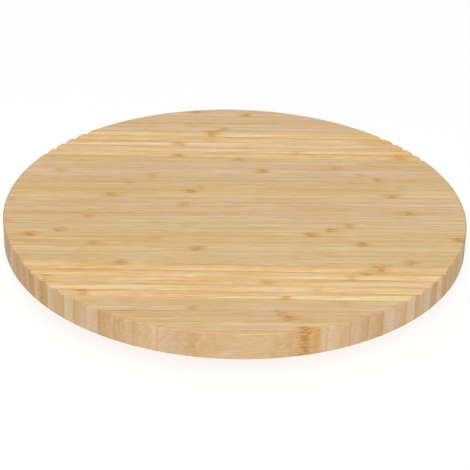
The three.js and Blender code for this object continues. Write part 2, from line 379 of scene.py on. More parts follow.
# %% [markdown]
# ## Bamboo strips
#
# Bamboo board is glued up from planed strips stood on edge. What the eye reads on it is, in this order:
# the strips, each a slightly different tan; fine fibres along each strip, crowded towards the side that
# was near the cane's skin; a short brown mark where the cane had a knuckle, once or so in each strip;
# and a hair-thin glue line between neighbours. Where the round edge cuts across the fibres, the same
# fibres show as dark dots, and that end grain drinks the oil and turns darker.
#
# One solid pattern gives all of that. The strip's number comes from how far across the board a point
# lies, and a random number for each strip sets its tone and slides its grain along, so no two match. The
# grain itself is noise drawn out along the strip, in three dimensions, so the rim shows it cut across
# without any extra work.

# %% Bamboo: strips and their random numbers
def strip_layout(tree, angle, width, phase):
    """Splits the board into strips: place along a strip, place across it, its number and its dice."""
    place = object_coordinates(tree, angle)
    axes = node(tree, "ShaderNodeSeparateXYZ", {0: place})
    along, across, up = axes.outputs
    count = maths(tree, "DIVIDE", maths(tree, "ADD", across, phase), width)
    number = maths(tree, "FLOOR", count)
    share = maths(tree, "FRACT", count)
    dice = node(tree, "ShaderNodeTexWhiteNoise", {"W": number}, noise_dimensions="1D")
    colour = node(tree, "ShaderNodeSeparateColor", {0: dice.outputs["Color"]})
    shift = maths(tree, "MULTIPLY", dice.outputs["Value"], 3.0)
    slid = maths(tree, "ADD", along, shift)
    lifted = maths(tree, "ADD", up, colour.outputs[0])
    grain = node(tree, "ShaderNodeCombineXYZ", {0: slid, 1: across, 2: lifted}).outputs[0]
    return {
        "place": place, "slid": slid, "share": share, "number": number, "grain": grain,
        "tone": colour.outputs[0], "hue": colour.outputs[1], "spread": colour.outputs[2],
    }


def knuckles(tree, strip, width):
    """Marks where the cane's knuckles were: the dark spots, the smudge round them and one long streak."""
    spacing = maths(tree, "MULTIPLY_ADD", strip["spread"], 0.07, 0.135)
    count = maths(tree, "DIVIDE", strip["slid"], spacing)
    number = maths(tree, "FLOOR", count)
    from_centre = maths(tree, "SUBTRACT", maths(tree, "FRACT", count), 0.5)
    distance = maths(tree, "MULTIPLY", from_centre, spacing)
    wobble = noise(tree, strip["grain"], (110, 480, 480), 2.0)
    wavering = maths(tree, "MULTIPLY_ADD", maths(tree, "SUBTRACT", wobble, 0.5), 0.012, distance)
    away = maths(tree, "ABSOLUTE", wavering)
    dice_place = node(tree, "ShaderNodeCombineXYZ", {0: number, 1: strip["number"], 2: 0.0}).outputs[0]
    dice = node(tree, "ShaderNodeTexWhiteNoise", {"Vector": dice_place}, noise_dimensions="3D")
    rolls = node(tree, "ShaderNodeSeparateColor", {0: dice.outputs["Color"]})
    force = step(tree, rolls.outputs[0], 0.15, 0.9, False)

    blotches = step(tree, noise(tree, strip["grain"], (190, 800, 800), 2.0), 0.38, 0.52)
    spots = maths(tree, "MULTIPLY", step(tree, away, 0.0046, 0.0008), blotches)
    ragged = step(tree, noise(tree, strip["grain"], (60, 420, 420), 2.0), 0.28, 0.55)
    smudge = maths(tree, "MULTIPLY", step(tree, away, 0.0095, 0.002), ragged)

    way = maths(tree, "SIGN", maths(tree, "SUBTRACT", rolls.outputs[1], 0.5))
    ahead = maths(tree, "MULTIPLY", distance, way)
    reach = maths(tree, "MULTIPLY_ADD", rolls.outputs[2], 0.05, 0.012)
    fading = step(tree, maths(tree, "DIVIDE", ahead, reach), 1.0, 0.0, False)
    begun = step(tree, ahead, -0.003, 0.001)
    sideways = maths(tree, "SUBTRACT", strip["share"], rolls.outputs[2])
    across = maths(tree, "MULTIPLY", maths(tree, "ABSOLUTE", sideways), width)
    stretch = maths(tree, "MULTIPLY", fading, begun)
    streak = maths(tree, "MULTIPLY", step(tree, across, 0.0011, 0.0003), stretch)
    return [maths(tree, "MULTIPLY", part, force) for part in (spots, smudge, streak)]


# %% Bamboo: fibres, glue lines and end grain
def fibres(tree, strip):
    """Fibres at three sizes, short dashes, and the dark bundles: lines on top, dots at the rim."""
    broad = noise(tree, strip["grain"], (14, 430, 45), 2.0)
    medium = noise(tree, strip["grain"], (24, 1100, 160), 2.0)
    fine = noise(tree, strip["grain"], (40, 2600, 2600), 1.0)
    dashes = noise(tree, strip["grain"], (120, 950, 950), 1.0)
    stretched = {0: strip["grain"], 1: (55, 1100, 1100)}
    scaled = node(tree, "ShaderNodeVectorMath", stretched, operation="MULTIPLY")
    cells = node(tree, "ShaderNodeTexVoronoi", {"Vector": scaled.outputs[0], "Scale": 1.0}, feature="F1")
    bundle = step(tree, cells.outputs["Distance"], 0.42, 0.12)
    side = maths(tree, "GREATER_THAN", strip["hue"], 0.5)
    skin_side = maths(tree, "ABSOLUTE", maths(tree, "SUBTRACT", strip["share"], side))
    bundle = maths(tree, "MULTIPLY", bundle, maths(tree, "MULTIPLY_ADD", skin_side, 0.75, 0.25))
    return broad, medium, fine, dashes, bundle, skin_side


def glue_lines(tree, strip, width):
    from_edge = maths(tree, "PINGPONG", strip["share"], 0.5)
    distance = maths(tree, "MULTIPLY", from_edge, width)
    return step(tree, distance, 0.0004, 0.00008)


def cut_faces(tree, radius):
    """How squarely the surface cuts the fibres, how upright it is, and where the disc's corners are."""
    texture = node(tree, "ShaderNodeTexCoord")
    axes = node(tree, "ShaderNodeSeparateXYZ", {0: texture.outputs["Normal"]})
    ends = step(tree, maths(tree, "ABSOLUTE", axes.outputs[0]), 0.15, 1.0, False)
    upright = step(tree, maths(tree, "ABSOLUTE", axes.outputs[2]), 0.6, 0.2)
    level = {0: texture.outputs["Object"], 1: (1, 1, 0)}
    flat = node(tree, "ShaderNodeVectorMath", level, operation="MULTIPLY")
    reach = node(tree, "ShaderNodeVectorMath", {0: flat.outputs[0]}, operation="LENGTH").outputs["Value"]
    corner = step(tree, reach, radius - 0.0012, radius - 0.0005)
    corner = maths(tree, "MULTIPLY", corner, maths(tree, "SUBTRACT", 1.0, upright))
    return ends, upright, corner


# %% Bamboo: the finish
def weigh(tree, start_value, *terms):
    """A start value plus each (socket, weight) about its own middle of one half."""
    total = start_value
    for socket, weight in terms:
        centred = maths(tree, "SUBTRACT", socket, 0.5)
        total = maths(tree, "MULTIPLY_ADD", centred, weight, total)
    return total


BAMBOO_DARK = (0.68, 0.385, 0.095, 1)
BAMBOO_LIGHT = (0.87, 0.655, 0.41, 1)
BAMBOO_PINK = (0.99, 0.963, 1.075, 1)
BAMBOO_YELLOW = (1.0, 1.01, 0.885, 1)
KNUCKLE_BROWN = (0.53, 0.235, 0.045, 1)
KNUCKLE_ORANGE = (0.74, 0.39, 0.095, 1)
BUNDLE_BROWN = (0.52, 0.28, 0.085, 1)
GLUE_BROWN = (0.58, 0.31, 0.09, 1)
END_GRAIN_BROWN = (0.55, 0.35, 0.17, 1)
# painted shade: the upright rim faces are darkened as if the lights left them in shade
RIM_PAINTED_SHADE = (0.765, 0.757, 0.812, 1)
# painted shade: the rounded corner between top and rim is darkened to damp the highlight that the lights
# put on it
CORNER_PAINTED_SHADE = (0.86, 0.82, 0.78, 1)


def bamboo(name, angle, width, phase, radius):
    """Oiled bamboo disc of a radius: strips of a width, along a direction, counted from a phase."""
    material, tree, shader = new_material(name)
    strip = strip_layout(tree, angle, width, phase)
    broad, medium, fine, dashes, bundle, skin_side = fibres(tree, strip)
    spots, smudge, streak = knuckles(tree, strip, width)
    glue = glue_lines(tree, strip, width)
    ends, upright, corner = cut_faces(tree, radius)
    patches = noise(tree, strip["place"], (12, 12, 12), 2.0)

    strip_weight = maths(tree, "MULTIPLY_ADD", upright, 0.06, 0.28)
    strip_weight = maths(tree, "MULTIPLY_ADD", ends, 0.75, strip_weight)
    layer_weight = maths(tree, "MULTIPLY_ADD", upright, -0.28, -0.1)
    broad_weight = maths(tree, "MULTIPLY_ADD", upright, -0.45, 0.9)
    medium_weight = maths(tree, "MULTIPLY_ADD", upright, -0.4, 0.95)
    tone = weigh(
        tree, 0.56, (strip["tone"], strip_weight), (skin_side, layer_weight), (broad, broad_weight),
        (medium, medium_weight), (fine, 0.65), (dashes, 0.7), (patches, 0.4),
    )
    colour = mix_colour(tree, maths(tree, "MAXIMUM", tone, 0.0, clamp=True), BAMBOO_DARK, BAMBOO_LIGHT)
    flecks = noise(tree, strip["grain"], (45, 320, 60), 2.0)
    fleck_weight = maths(tree, "MULTIPLY_ADD", upright, -1.5, 2.4)
    hue_weight = maths(tree, "MULTIPLY_ADD", upright, -0.4, 0.8)
    warmth = weigh(tree, 0.5, (strip["spread"], hue_weight), (flecks, fleck_weight))
    tint = mix_colour(tree, maths(tree, "MAXIMUM", warmth, 0.0, clamp=True), BAMBOO_PINK, BAMBOO_YELLOW)
    colour = mix_colour(tree, 1.0, colour, tint, "MULTIPLY")
    colour = mix_colour(tree, maths(tree, "MULTIPLY", smudge, 0.7), colour, KNUCKLE_ORANGE)
    colour = mix_colour(tree, maths(tree, "MULTIPLY", streak, 0.85), colour, KNUCKLE_ORANGE)
    colour = mix_colour(tree, maths(tree, "MULTIPLY", spots, 0.75), colour, KNUCKLE_BROWN)
    colour = mix_colour(tree, maths(tree, "MULTIPLY", bundle, 0.27), colour, BUNDLE_BROWN)
    glue_strength = maths(tree, "MULTIPLY_ADD", upright, -0.22, 0.36)
    glue_strength = maths(tree, "MULTIPLY_ADD", ends, 0.6, glue_strength)
    colour = mix_colour(tree, maths(tree, "MULTIPLY", glue, glue_strength), colour, GLUE_BROWN)
    dots = maths(tree, "MULTIPLY_ADD", bundle, 0.35, 0.2)
    colour = mix_colour(tree, maths(tree, "MULTIPLY", ends, dots), colour, END_GRAIN_BROWN)
    # painted shade: the upright rim faces are darkened as if the lights left them in shade
    colour = mix_colour(tree, upright, colour, mix_colour(tree, 1.0, colour, RIM_PAINTED_SHADE, "MULTIPLY"))
    # painted shade on the rounded corner between top and rim, which damps the highlight that the lights put
    # on it
    colour = mix_colour(tree, corner, colour, mix_colour(tree, 1.0, colour, CORNER_PAINTED_SHADE, "MULTIPLY"))
    tree.links.new(colour, shader.inputs["Base Color"])

    roughness = weigh(tree, 0.52, (medium, 0.12), (patches, 0.1))
    tree.links.new(maths(tree, "MULTIPLY_ADD", ends, 0.12, roughness), shader.inputs["Roughness"])
    shader.inputs["Specular IOR Level"].default_value = 0.3
    shader.inputs["Coat Weight"].default_value = 0.1
    shader.inputs["Coat Roughness"].default_value = 0.35
    height = weigh(tree, 0.0, (medium, 0.5), (fine, 0.5))
    height = maths(tree, "MULTIPLY_ADD", bundle, -0.6, height)
    height = maths(tree, "MULTIPLY_ADD", glue, -0.7, height)
    bump(tree, shader, height, 0.06 * MM)
    return material


STRIP_WIDTH = 5.9 * MM
STRIP_ANGLE = math.radians(1.5)
FRONT_STRIP_DEPTH = 2.6 * MM  # how far the board's front point reaches into its last strip
FIRST_STRIP = 9  # the number the count starts from; another one gives other tones and knuckles
BASE_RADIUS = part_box("base_disc")[1].x
strip_phase = BOARD_RADIUS - FRONT_STRIP_DEPTH + FIRST_STRIP * STRIP_WIDTH
board_bamboo = bamboo("bamboo_board", STRIP_ANGLE, STRIP_WIDTH, strip_phase, BOARD_RADIUS)
base_bamboo = bamboo("bamboo_base", math.radians(4), STRIP_WIDTH, 1.3 * MM, BASE_RADIUS)
print("bamboo: about", round(2 * BOARD_RADIUS / STRIP_WIDTH), "strips across the board")

# %% [markdown]
# ## The board
#
# The board is a disc with its edges just broken, and two bands of grooves run right across its top. Each
# band is a row of low arched ridges between sharp valleys, as a moulding cutter leaves them. The quick
# way would be to push the top's own faces up and down, but the flats beside the bands have to stay dead
# flat and the valleys sharp. So the way taken is the joiner's: shape the cutter, then cut. A strip of
# sheet is bent into the band's profile, row by row, thickened upwards into a bar, and cut out of the
# disc.

# %% Board: the moulding cutter
GROOVES_PER_BAND = 5
GROOVE_PITCH = 8.1 * MM
GROOVE_DEPTH = 2.2 * MM
BAND_OFFSET = 93.6 * MM
CREST_RELIEF = 0.1 * MM  # the ridges stand this much lower than the flats
ROWS_PER_GROOVE = 24
CUTTER_HEIGHT = 4 * MM
BAND_WIDTH = GROOVES_PER_BAND * GROOVE_PITCH


def groove_drop(y):
    """How far the profile lies under the board's top, at a distance from the band's middle."""
    valley = (round(y / GROOVE_PITCH - 0.5 * (GROOVES_PER_BAND + 1)) + 0.5 * (GROOVES_PER_BAND + 1))
    outside = abs(y) > BAND_WIDTH / 2 - GROOVE_PITCH / 2
    rise = GROOVE_DEPTH if outside else GROOVE_DEPTH - CREST_RELIEF
    half = GROOVE_PITCH / 2
    radius = (half**2 + rise**2) / (2 * rise)
    from_crest = half - abs(y - valley * GROOVE_PITCH)
    from_crest = min(max(from_crest, 0.0), half)
    return GROOVE_DEPTH - rise + radius - math.sqrt(radius**2 - from_crest**2)


def band_cutter(name, offset):
    """A bar along X whose underside is the band's profile."""
    rows = GROOVES_PER_BAND * ROWS_PER_GROOVE
    place = (0, offset, BOARD_TOP)
    add = bpy.ops.mesh.primitive_grid_add
    bar = start(add, name, x_subdivisions=1, y_subdivisions=rows, size=1, location=place)
    bpy.ops.transform.resize(value=(2 * BOARD_RADIUS + 4 * GROOVE_PITCH, BAND_WIDTH, 1))
    settle(bar)
    edit(bar)
    for row in range(rows + 1):
        y = offset - BAND_WIDTH / 2 + BAND_WIDTH * row / rows
        pick(bar, "VERT", lambda vert: abs(vert.co.y - y) < 0.01 * MM)
        bpy.ops.transform.translate(value=(0, 0, -groove_drop(y - offset)))
    bpy.ops.mesh.select_all(action="SELECT")
    bpy.ops.mesh.extrude_region_move(TRANSFORM_OT_translate={"value": (0, 0, CUTTER_HEIGHT)})
    lid = (0, offset, BOARD_TOP + CUTTER_HEIGHT)
    bpy.ops.transform.resize(value=(1, 1, 0), center_override=lid)
    bpy.ops.mesh.select_all(action="SELECT")
    bpy.ops.mesh.normals_make_consistent(inside=False)
    settle(bar)
    return bar


# %% Board: the disc
BOARD_FACETS = 360
BOARD_EDGE = 0.9 * MM
SCREW_RADIUS = 1.75 * MM
CONTACT_GAP = 0.3 * MM


def disc(name, radius, bottom, top, edge, facets):
    """A disc whose two rims are rounded over."""
    place = (0, 0, (bottom + top) / 2)
    add = bpy.ops.mesh.primitive_cylinder_add
    piece = start(add, name, vertices=facets, radius=radius, depth=top - bottom, location=place)
    settle(piece)
    edit(piece)
    pick(piece, "EDGE", lambda e: abs(e.verts[0].co.z - e.verts[1].co.z) < 0.01 * MM)
    bpy.ops.mesh.bevel(offset=edge, segments=4, affect="EDGES")
    bpy.ops.object.mode_set(mode="OBJECT")
    return piece


def drills(name, circle, angles, low, high):
    """Round bars that drill a screw's pilot holes, as one tool."""
    bars = []
    for angle in angles:
        place = (circle * math.cos(angle), circle * math.sin(angle), (low + high) / 2)
        add = bpy.ops.mesh.primitive_cylinder_add
        radius = SCREW_RADIUS + CONTACT_GAP
        bars.append(start(add, name, vertices=24, radius=radius, depth=high - low, location=place))
    tool = join(bars, name)
    settle(tool)
    return tool


def circle_of(name):
    """How far a node's middle stands from the turning axis, and at what angle."""
    low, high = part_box(name)
    centre = (low + high) / 2
    return math.hypot(centre.x, centre.y), math.atan2(centre.y, centre.x)


board = disc("bamboo_panel", BOARD_RADIUS, BOARD_BOTTOM, BOARD_TOP, BOARD_EDGE, BOARD_FACETS)
report(board)

# %% Board: cutting and finishing
BOARD_SCREWS = [f"board_screw_{i}" for i in range(1, 5)]
board_screw_circle = circle_of("board_screw_1")[0]
board_screw_angles = [circle_of(name)[1] for name in BOARD_SCREWS]
board_screw_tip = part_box("board_screw_1")[1].z


def dress(piece, material, body, cad_nodes):
    """Gives a finished piece its material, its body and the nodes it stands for."""
    piece.data.materials.clear()
    piece.data.materials.append(material)
    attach(piece, body)
    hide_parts(*cad_nodes)
    report(piece)


for side in (-1, 1):
    cut_away(board, band_cutter("moulding_cutter", side * BAND_OFFSET))
pilot_low = BOARD_BOTTOM - MM
pilot_high = board_screw_tip + CONTACT_GAP
cut_away(board, drills("drill", board_screw_circle, board_screw_angles, pilot_low, pilot_high))
clean(board)
smooth(board)
dress(board, board_bamboo, "turntable", ["board"])

# %% [markdown]
# ## The base
#
# The foot of the turntable is a smaller disc of the same board. Nobody sees more of it than its edge, so
# its two rims are only rounded over. Screws come into it from above, through the bearing, and from
# below, through the feet, and each has its pilot hole. The disc is made and drilled in the same way as
# the board, with the same two helpers.

# %% Base
BASE_FACETS = 240
BASE_EDGE = 1.5 * MM
base_low, base_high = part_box("base_disc")
BASE_SCREWS = [f"base_screw_{i}" for i in range(1, 5)]
FOOT_SCREWS = [f"foot_screw_{i}" for i in range(1, 5)]

base = disc("base_panel", base_high.x, base_low.z, base_high.z, BASE_EDGE, BASE_FACETS)
for names, low, high in (
    (BASE_SCREWS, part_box(BASE_SCREWS[0])[0].z - CONTACT_GAP, base_high.z + MM),
    (FOOT_SCREWS, base_low.z - MM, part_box(FOOT_SCREWS[0])[1].z + CONTACT_GAP),
):
    circle = circle_of(names[0])[0]
    cut_away(base, drills("drill", circle, [circle_of(name)[1] for name in names], low, high))
clean(base)
smooth(base)
dress(base, base_bamboo, "base", ["base_disc"])

# %% [markdown]
# ## Metal, plastic and rubber
#
# The bearing's rings are turned aluminium. A turned face shows fine rings where the tool went round, so
# the noise is given coordinates that change quickly with radius and height and slowly round the axis.
# Angle itself would leave a seam where it jumps from one end to the other, so the point's direction from
# the axis stands in for it. Hardened balls are nearly mirrors with a few hairlines, zinc on a screw is
# cloudy, nylon is waxy and a little see-through at its edges, and rubber is matt and faintly dusty.

# %% Metal finishes
def around_axis(tree, turns, across):
    """Coordinates that run slowly round the Z axis and fast across it."""
    texture = node(tree, "ShaderNodeTexCoord")
    axes = node(tree, "ShaderNodeSeparateXYZ", {0: texture.outputs["Object"]})
    x, y, z = axes.outputs
    flat = node(tree, "ShaderNodeCombineXYZ", {0: x, 1: y, 2: 0.0}).outputs[0]
    radius = node(tree, "ShaderNodeVectorMath", {0: flat}, operation="LENGTH").outputs["Value"]
    unit = node(tree, "ShaderNodeVectorMath", {0: flat}, operation="NORMALIZE").outputs[0]
    parts = node(tree, "ShaderNodeSeparateXYZ", {0: unit})
    first = maths(tree, "MULTIPLY", parts.outputs[0], turns)
    second = maths(tree, "MULTIPLY", parts.outputs[1], turns)
    third = maths(tree, "MULTIPLY", maths(tree, "MULTIPLY_ADD", z, 1.7, radius), across)
    return node(tree, "ShaderNodeCombineXYZ", {0: first, 1: second, 2: third}).outputs[0]


def turned_aluminium():
    material, tree, shader = new_material("turned_aluminium")
    place = around_axis(tree, 3.0, 5200)
    lines = noise(tree, place, (1, 1, 1), 3.0, 0.65)
    broad = noise(tree, place, (0.6, 0.6, 0.12), 2.0)
    smudge = noise(tree, object_coordinates(tree), (55, 55, 55), 3.0)
    tone = weigh(tree, 0.5, (lines, 0.9), (broad, 0.5), (smudge, 0.5))
    colour = mix_colour(tree, tone, (0.56, 0.57, 0.59, 1), (0.84, 0.85, 0.86, 1))
    tree.links.new(colour, shader.inputs["Base Color"])
    shader.inputs["Metallic"].default_value = 1
    roughness = weigh(tree, 0.34, (lines, 0.3), (smudge, 0.22))
    tree.links.new(roughness, shader.inputs["Roughness"])
    bump(tree, shader, lines, 0.02 * MM)
    return material


def ball_steel():
    material, tree, shader = new_material("ball_steel")
    place = object_coordinates(tree)
    hairlines = noise(tree, place, (400, 9000, 2500), 2.0, 0.7)
    bloom = noise(tree, place, (420, 420, 420), 2.0)
    colour = mix_colour(tree, bloom, (0.70, 0.71, 0.73, 1), (0.82, 0.825, 0.83, 1))
    tree.links.new(colour, shader.inputs["Base Color"])
    shader.inputs["Metallic"].default_value = 1
    tree.links.new(weigh(tree, 0.1, (hairlines, 0.12), (bloom, 0.08)), shader.inputs["Roughness"])
    bump(tree, shader, hairlines, 0.003 * MM)
    return material


def screw_zinc():
    material, tree, shader = new_material("screw_zinc")
    place = object_coordinates(tree)
    cloud = noise(tree, place, (900, 900, 900), 3.0)
    grit = noise(tree, place, (7000, 7000, 7000), 2.0)
    colour = mix_colour(tree, weigh(tree, 0.5, (cloud, 1.6)), (0.50, 0.53, 0.57, 1), (0.74, 0.73, 0.68, 1))
    tree.links.new(colour, shader.inputs["Base Color"])
    shader.inputs["Metallic"].default_value = 1
    tree.links.new(weigh(tree, 0.33, (cloud, 0.3), (grit, 0.15)), shader.inputs["Roughness"])
    bump(tree, shader, grit, 0.01 * MM)
    return material


# %% Plastic and rubber finishes
def cage_nylon():
    material, tree, shader = new_material("cage_nylon")
    place = object_coordinates(tree)
    flow = noise(tree, place, (90, 90, 400), 2.0)
    pores = noise(tree, place, (3500, 3500, 3500), 2.0)
    colour = mix_colour(tree, weigh(tree, 0.5, (flow, 1.2)), (0.74, 0.72, 0.66, 1), (0.86, 0.85, 0.80, 1))
    tree.links.new(colour, shader.inputs["Base Color"])
    shader.inputs["Subsurface Weight"].default_value = 0.1
    shader.inputs["Subsurface Scale"].default_value = 0.5 * MM
    tree.links.new(weigh(tree, 0.48, (flow, 0.2), (pores, 0.1)), shader.inputs["Roughness"])
    bump(tree, shader, pores, 0.01 * MM)
    return material


def foot_rubber():
    material, tree, shader = new_material("foot_rubber")
    place = object_coordinates(tree)
    dust = noise(tree, place, (260, 260, 260), 3.0, 0.6)
    grain = noise(tree, place, (2600, 2600, 2600), 2.0)
    tone = weigh(tree, 0.4, (dust, 1.8), (grain, 0.5))
    colour = mix_colour(tree, tone, (0.012, 0.012, 0.014, 1), (0.045, 0.044, 0.043, 1))
    tree.links.new(colour, shader.inputs["Base Color"])
    tree.links.new(weigh(tree, 0.78, (dust, 0.25), (grain, 0.1)), shader.inputs["Roughness"])
    shader.inputs["Specular IOR Level"].default_value = 0.35
    bump(tree, shader, grain, 0.03 * MM)
    return material


aluminium = turned_aluminium()
steel = ball_steel()
zinc = screw_zinc()
nylon = cage_nylon()
rubber = foot_rubber()
print("finishes:", ", ".join(m.name for m in (aluminium, steel, zinc, nylon, rubber)))

# %% [markdown]
# ## The bearing's rings
#
# The board turns on a ring of balls that run between two aluminium rings. Each ring is one angle-shaped
# section turned round the axis: an upright wall with half of the balls' track in it, and a flat flange
# for screws. The outer ring's flange is at the top, under the board, and the inner ring's is at the
# bottom, on the base. The track is an arc a little wider than the balls. The section's sharp corners are
# rounded before it is spun, and then the countersunk screw holes are cut.

# %% Rings: sections
RING_STEPS = 180
TRACK_RADIUS = circle_of("ball_01")[0]
TRACK_HEIGHT = sum((corner.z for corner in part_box("ball_01"))) / 2
BALL_RADIUS = (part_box("ball_01")[1].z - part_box("ball_01")[0].z) / 2
TRACK_ARC_RADIUS = BALL_RADIUS + CONTACT_GAP
FACE_OFFSET = 0.8 * MM
TRACK_MOUTH = math.degrees(math.acos(FACE_OFFSET / TRACK_ARC_RADIUS))
RING_WALL = 5 * MM
FLANGE_THICKNESS = 2.4 * MM
CORNER = 0.25 * MM


def track(side):
    """Half the track's section from bottom to top. The outer ring's side is 1 and the inner ring's -1."""
    middle_angle = 90 - 90 * side
    mouth = side * TRACK_MOUTH
    centre = (TRACK_RADIUS, TRACK_HEIGHT)
    return arc(centre, TRACK_ARC_RADIUS, middle_angle - mouth, middle_angle + mouth, 12)


def outer_section():
    low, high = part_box("outer_ring")
    face, rim = TRACK_RADIUS + FACE_OFFSET, high.x
    wall, shelf = face + RING_WALL, high.z - FLANGE_THICKNESS
    outline = [(wall, low.z), (wall, shelf), (rim, shelf), (rim, high.z), (face, high.z)]
    return outline + track(1)[::-1] + [(face, low.z), (wall, low.z)]


def inner_section():
    low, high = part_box("inner_ring")
    flange_circle = circle_of("base_screw_1")[0]
    face = TRACK_RADIUS - FACE_OFFSET
    wall, shelf = face - RING_WALL, low.z + FLANGE_THICKNESS
    rim = 2 * flange_circle - wall
    outline = [(rim, low.z), (face, low.z)] + track(-1)
    return outline + [(face, high.z), (wall, high.z), (wall, shelf), (rim, shelf), (rim, low.z)]


# %% Rings: countersinks
SCREW_HEAD_RADIUS = 3.5 * MM
SCREW_HEAD_LAND = 0.25 * MM
HOLE_STEPS = 40


def countersink(name, face, down):
    """The tool for one countersunk hole on the axis, with its wide end at a face."""
    hole, mouth = SCREW_RADIUS + CONTACT_GAP, SCREW_HEAD_RADIUS + CONTACT_GAP
    cone_end = SCREW_HEAD_LAND + mouth - hole
    sign = 1 if down else -1
    heights = [-MM, -MM, SCREW_HEAD_LAND, cone_end, cone_end + 2 * FLANGE_THICKNESS]
    radii = [0, mouth, mouth, hole, hole]
    outline = [(radius, face + sign * height) for radius, height in zip(radii, heights)]
    outline.append((0, outline[-1][1]))
    return lathe(name, outline, HOLE_STEPS)


def countersink_holes(ring, names, face, down):
    for name in names:
        circle, angle = circle_of(name)
        tool = countersink("countersink", face, down)
        move(tool, (circle * math.cos(angle), circle * math.sin(angle), 0))
        cut_away(ring, tool)


outer_ring = lathe("outer_race", outer_section(), RING_STEPS, CORNER)
countersink_holes(outer_ring, BOARD_SCREWS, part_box("outer_ring")[1].z - FLANGE_THICKNESS, True)
clean(outer_ring)
smooth(outer_ring)
dress(outer_ring, aluminium, "turntable", ["outer_ring"])

inner_ring = lathe("inner_race", inner_section(), RING_STEPS, CORNER)
countersink_holes(inner_ring, BASE_SCREWS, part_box("inner_ring")[0].z + FLANGE_THICKNESS, False)
clean(inner_ring)
smooth(inner_ring)
dress(inner_ring, aluminium, "base", ["inner_ring"])

# %% [markdown]
# ## Cage and balls
#
# A thin nylon ribbon between the rings keeps the balls apart, with a round pocket for each. The ribbon is
# a narrow rectangle spun round the axis, and one short bar, copied round, bores the pockets. A ball could
# be a sphere of rings and poles, but a cube that is subdivided and pushed out to a sphere has even faces
# all over and no pole for a highlight to catch on.

# %% Cage
BALLS = [f"ball_{i:02d}" for i in range(1, 21)]
CAGE_THICKNESS = 1.0 * MM
POCKET_STEPS = 32


def cage_section():
    low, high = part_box("ball_cage")
    inside, outside = TRACK_RADIUS - CAGE_THICKNESS / 2, TRACK_RADIUS + CAGE_THICKNESS / 2
    corners = [(inside, low.z), (outside, low.z), (outside, high.z), (inside, high.z), (inside, low.z)]
    return corners


def pocket_bars():
    bars = []
    for name in BALLS:
        angle = circle_of(name)[1]
        place = (TRACK_RADIUS * math.cos(angle), TRACK_RADIUS * math.sin(angle), TRACK_HEIGHT)
        bars.append(start(
            bpy.ops.mesh.primitive_cylinder_add, "pocket_bar", vertices=POCKET_STEPS,
            radius=TRACK_ARC_RADIUS, depth=4 * CAGE_THICKNESS, location=place,
            rotation=(0, math.pi / 2, angle),
        ))
    tool = join(bars, "pocket_bar")
    settle(tool)
    return tool


cage = lathe("ball_retainer", cage_section(), RING_STEPS)
cut_away(cage, pocket_bars())
clean(cage)
soften(cage, 0.12 * MM, 1, 50)
smooth(cage)
dress(cage, nylon, "ball_cage", ["ball_cage"])

# %% Balls
def make_ball(name, radius):
    ball = start(bpy.ops.mesh.primitive_cube_add, name, size=2 * radius)
    edit(ball)
    bpy.ops.mesh.select_all(action="SELECT")
    bpy.ops.mesh.subdivide(number_cuts=9)
    bpy.ops.transform.tosphere(value=1)
    bpy.ops.object.mode_set(mode="OBJECT")
    grown = radius / max(vert.co.length for vert in ball.data.vertices)
    edit(ball)
    bpy.ops.mesh.select_all(action="SELECT")
    bpy.ops.transform.resize(value=(grown, grown, grown))
    settle(ball)
    smooth(ball, 60)
    return ball


first_ball = make_ball("bearing_ball", BALL_RADIUS)
for number, name in enumerate(BALLS, 1):
    circle, angle = circle_of(name)
    ball = copy_of(first_ball, f"bearing_ball_{number:02d}")
    move(ball, (circle * math.cos(angle), circle * math.sin(angle), TRACK_HEIGHT))
    dress(ball, steel, "ball_cage", [name])
bpy.data.objects.remove(first_ball)

# %% [markdown]
# ## Screws
#
# Eight countersunk screws hold the bearing and four pan-head screws hold the feet. A screw is three
# things put together: a turned core with its head, a thread wound round it, and a cross cut in the head.
# The thread is a small wedge-shaped section with the Screw modifier winding it up the shank. It must run
# out to nothing at the point, so what lies outside the screw's own envelope, a rod with a cone on it, is
# cut off. All of them are closed solids, so the Boolean modifier's Manifold solver puts them together: it
# gives the same mesh each time, where the Exact solver sometimes lost a head. The thread's twisted faces
# are made triangles first, and it is turned half a step from the core, so no two edges cross at a corner.
# Each screw was driven by hand, so the crosses all stop at different angles.

# %% Screws: core, thread and cross
SCREW_POINT = 3 * MM
THREAD_PITCH = 1.5 * MM
CORE_RADIUS = 1.2 * MM
SCREW_STEPS = 40
SCREW_TIP = 0.15 * MM
CORE_TIP = 0.12 * MM
THREAD_ROOT = 0.3 * MM
THREAD_CREST = SCREW_RADIUS + 0.1 * MM
CROSS_SPAN = 4.0 * MM
CROSS_WIDTH = 1.1 * MM
CROSS_DEPTH = 1.1 * MM


def make_thread(first, last):
    """A wound wedge from one height to another, cut to the shape of a pointed rod."""
    outline = [(THREAD_ROOT, first), (THREAD_CREST, first + 0.42 * MM)]
    outline += [(THREAD_CREST, first + 0.5 * MM), (THREAD_ROOT, first + 0.92 * MM)]
    thread = draw_section("thread", outline + outline[:1])
    bpy.ops.object.mode_set(mode="OBJECT")
    clean(thread)
    turns = math.ceil((last - first) / THREAD_PITCH)
    modify(
        thread, "SCREW", axis="Z", angle=2 * math.pi, steps=SCREW_STEPS // 2, render_steps=SCREW_STEPS // 2,
        screw_offset=THREAD_PITCH, iterations=turns, use_merge_vertices=False,
    )
    edit(thread)
    bpy.ops.mesh.select_all(action="SELECT")
    bpy.ops.mesh.fill_holes(sides=4)
    clean(thread)
    modify(thread, "TRIANGULATE")
    turn(thread, math.pi / SCREW_STEPS)
    rod = [(0, first - MM), (SCREW_RADIUS, first - MM), (SCREW_RADIUS, last - SCREW_POINT)]
    envelope = lathe("envelope", rod + [(SCREW_TIP, last), (0, last)], SCREW_STEPS)
    modify(thread, "BOOLEAN", operation="INTERSECT", solver="MANIFOLD", object=envelope)
    bpy.data.objects.remove(envelope)
    return thread


